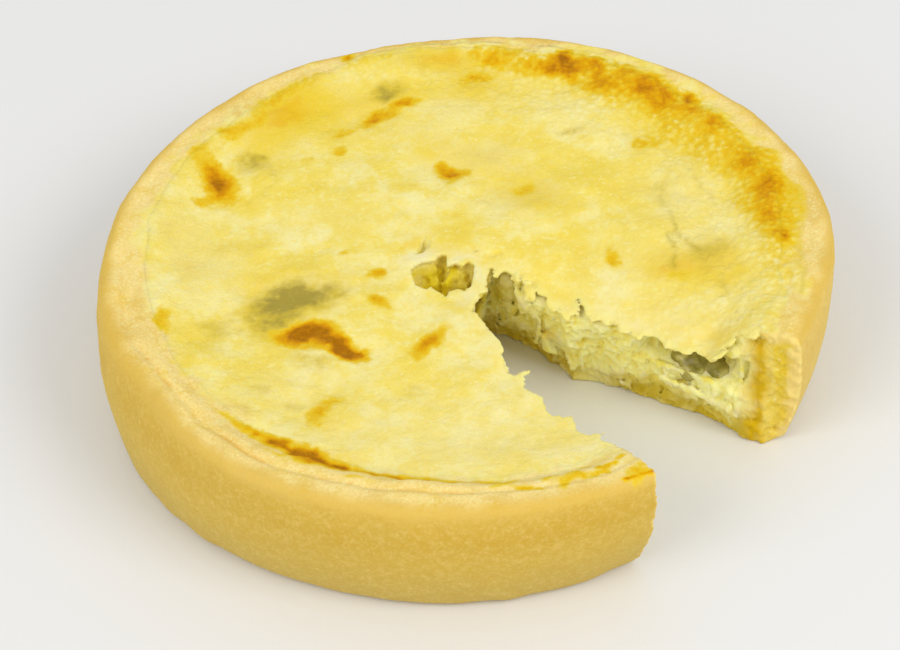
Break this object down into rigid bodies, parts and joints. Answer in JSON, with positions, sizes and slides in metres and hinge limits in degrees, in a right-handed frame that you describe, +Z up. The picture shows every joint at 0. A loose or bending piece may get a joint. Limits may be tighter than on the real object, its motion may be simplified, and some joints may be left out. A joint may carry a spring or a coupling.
{
  "type": "quiche",
  "caption": "Small round baked quiche in a pastry case with a narrow wedge taken out, showing custard and soft green vegetable in the torn cut.",
  "frame": {"origin": "below the middle of the quiche, at the centre of its bounding box, on the surface it stands on", "axes": "+Z up out of the baked top; the missing wedge opens towards +X and -Y"},
  "size_m": [0.1204, 0.1202, 0.024],
  "materials": {
    "pastry": "matt baked shortcrust pastry, pale gold, paler on the rim",
    "custard": "moist pale yellow baked custard, slightly glossy, with browned spots on its skin",
    "vegetable": "wet translucent grey-green cooked vegetable"
  },
  "bodies": {
    "root": {"pastry_case": "pastry", "custard_filling": "custard", "vegetable_large": "vegetable", "vegetable_small": "vegetable"}
  },
  "joints": []
}
